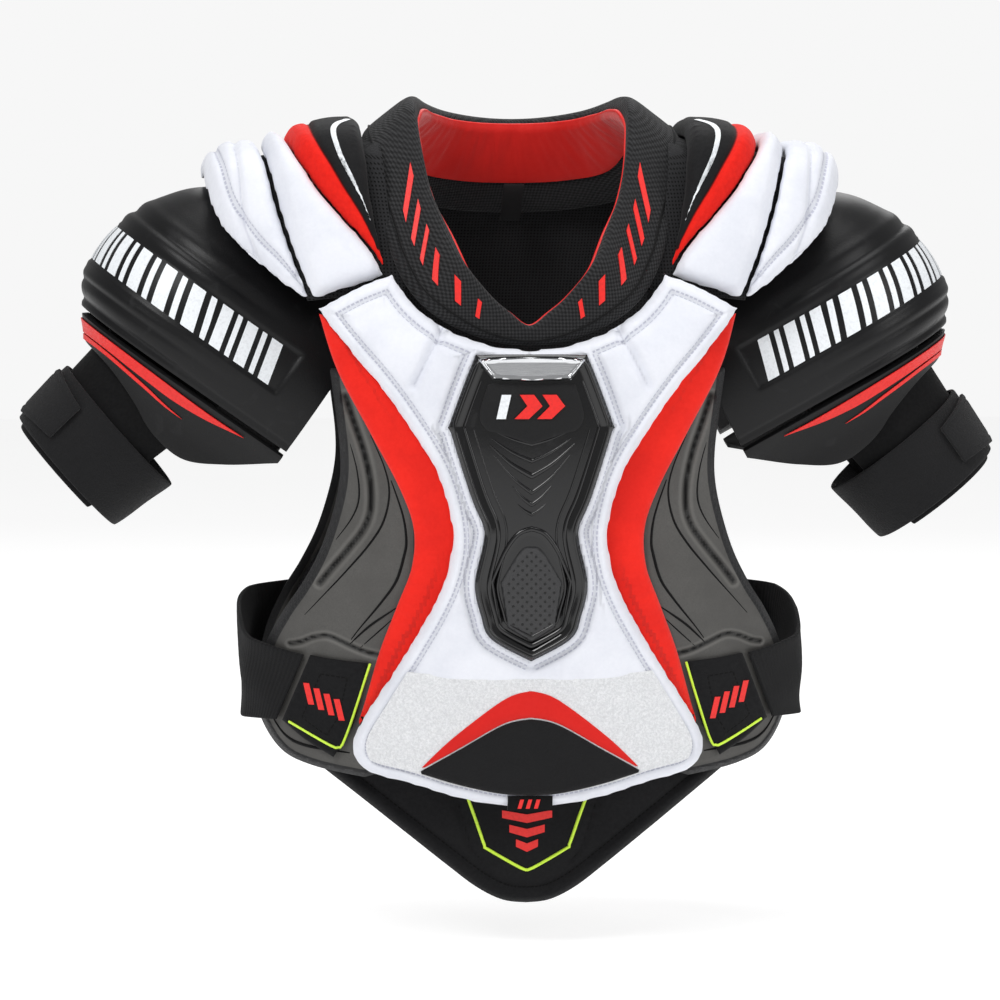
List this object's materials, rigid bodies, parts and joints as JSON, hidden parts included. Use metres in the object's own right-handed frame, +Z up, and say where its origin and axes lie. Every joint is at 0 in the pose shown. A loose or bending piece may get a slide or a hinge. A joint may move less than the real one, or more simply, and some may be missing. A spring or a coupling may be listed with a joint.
{
  "type": "hockey shoulder pads",
  "caption": "Ice hockey shoulder pads: padded chest and back with rib foam, stand-up collar, hinged shoulder caps with bicep cuffs, side straps and a belly pad.",
  "frame": {"origin": "on the wearer's centre line at the base of the neck, between the shoulder arches", "axes": "+Z up the wearer's spine, -Y the way the wearer faces, +X to the wearer's left"},
  "size_m": [0.6799, 0.324, 0.5494],
  "materials": {
    "white_fabric": "matte woven",
    "red_fabric": "matte woven",
    "black_knit": "matte mesh knit",
    "black_fabric": "matte woven",
    "black_elastic": "brushed elastic",
    "grey_foam": "moulded foam with fine grain",
    "cap_plastic": "satin",
    "gloss_plastic": "polished",
    "chrome": "bright",
    "mesh_lining": "matte mesh"
  },
  "bodies": {
    "yoke": {"back_liner": "mesh_lining", "spine_panel": "white_fabric", "spine_guard": "cap_plastic", "back_rib_panel_left": "grey_foam", "back_rib_panel_right": "grey_foam", "yoke_pad_left": "black_knit", "yoke_pad_right": "black_knit", "shoulder_pad_left": "white_fabric", "shoulder_pad_right": "white_fabric", "collar_back": "black_knit", "collar_lining": "red_fabric", "hang_loop": "black_fabric", "side_strap_left": "black_elastic", "side_strap_right": "black_elastic"},
    "front": {"chest_panel": "white_fabric", "front_liner": "mesh_lining", "chest_core_foam": "grey_foam", "red_side_panel_left": "red_fabric", "red_side_panel_right": "red_fabric", "rib_panel_left": "grey_foam", "rib_panel_right": "grey_foam", "sternum_plate": "gloss_plastic", "sternum_insert": "black_fabric", "sternum_emblem": "red_fabric", "sternum_badge": "chrome", "hem_chevron": "red_fabric", "belly_loop_patch": "black_elastic", "size_tag": "black_fabric", "collar_front": "black_knit"},
    "belly": {"belly_pad": "black_fabric", "belly_hook_strip": "black_elastic"},
    "left_tab": {"strap_tab_left": "black_fabric"},
    "left_epaulette": {"epaulette_left": "white_fabric"},
    "left_cap": {"cap_shell_left": "cap_plastic", "cap_foam_left": "grey_foam", "cap_lip_left": "cap_plastic"},
    "left_cuff": {"bicep_pad_left": "black_fabric", "bicep_strap_left": "black_elastic"},
    "left_cuff_tab": {"bicep_strap_tab_left": "black_fabric"},
    "right_tab": {"strap_tab_right": "black_fabric"},
    "right_epaulette": {"epaulette_right": "white_fabric"},
    "right_cap": {"cap_shell_right": "cap_plastic", "cap_foam_right": "grey_foam", "cap_lip_right": "cap_plastic"},
    "right_cuff": {"bicep_pad_right": "black_fabric", "bicep_strap_right": "black_elastic"},
    "right_cuff_tab": {"bicep_strap_tab_right": "black_fabric"}
  },
  "joints": [
    {"name": "front_open", "type": "hinge", "parent": "yoke", "child": "front", "pos_m": [0, -0.116, -0.066], "axis": [-1, 0, 0], "range_deg": [0, 8], "stiffness_Nm_per_rad": 4, "deforming": ["side_strap_left", "side_strap_right"]},
    {"name": "belly_slide", "type": "slide", "parent": "front", "child": "belly", "axis": [0, 0, -1], "range_m": [-0.02, 0.02]},
    {"name": "left_cap_swing", "type": "hinge", "parent": "yoke", "child": "left_cap", "pos_m": [0.187, 0, -0.054], "axis": [0, -1, 0], "range_deg": [0, 45]},
    {"name": "left_epaulette_lift", "type": "hinge", "parent": "yoke", "child": "left_epaulette", "pos_m": [0.157, 0, 0.03], "axis": [0, -1, 0], "range_deg": [0, 28]},
    {"name": "left_cuff_flex", "type": "hinge", "parent": "left_cap", "child": "left_cuff", "pos_m": [0.23354, 0, -0.13796], "axis": [0, -1, 0], "range_deg": [-9, 9], "stiffness_Nm_per_rad": 1.2},
    {"name": "left_cuff_tab_peel", "type": "hinge", "parent": "left_cuff", "child": "left_cuff_tab", "pos_m": [0.29823, -0.04421, -0.17759], "axis": [0.6293, 0, -0.7771], "range_deg": [0, 90]},
    {"name": "left_tab_peel", "type": "hinge", "parent": "front", "child": "left_tab", "pos_m": [0.156, -0.09642, -0.337], "axis": [-0.3605, -0.3293, 0.8727], "range_deg": [0, 90]},
    {"name": "right_cap_swing", "type": "hinge", "parent": "yoke", "child": "right_cap", "pos_m": [-0.187, 0, -0.054], "axis": [0, 1, 0], "range_deg": [0, 45]},
    {"name": "right_epaulette_lift", "type": "hinge", "parent": "yoke", "child": "right_epaulette", "pos_m": [-0.157, 0, 0.03], "axis": [0, 1, 0], "range_deg": [0, 28]},
    {"name": "right_cuff_flex", "type": "hinge", "parent": "right_cap", "child": "right_cuff", "pos_m": [-0.24206, 0, -0.13264], "axis": [0, 1, 0], "range_deg": [-9, 9], "stiffness_Nm_per_rad": 1.2},
    {"name": "right_cuff_tab_peel", "type": "hinge", "parent": "right_cuff", "child": "right_cuff_tab", "pos_m": [-0.31264, -0.04421, -0.16043], "axis": [0.7547, 0, 0.6561], "range_deg": [0, 90]},
    {"name": "right_tab_peel", "type": "hinge", "parent": "front", "child": "right_tab", "pos_m": [-0.156, -0.09642, -0.337], "axis": [-0.3605, 0.3293, -0.8727], "range_deg": [0, 90]}
  ],
  "couplings": [
    {"joint": "left_epaulette_lift", "follows": "left_cap_swing", "ratio": 0.6},
    {"joint": "right_epaulette_lift", "follows": "right_cap_swing", "ratio": 0.6}
  ]
}
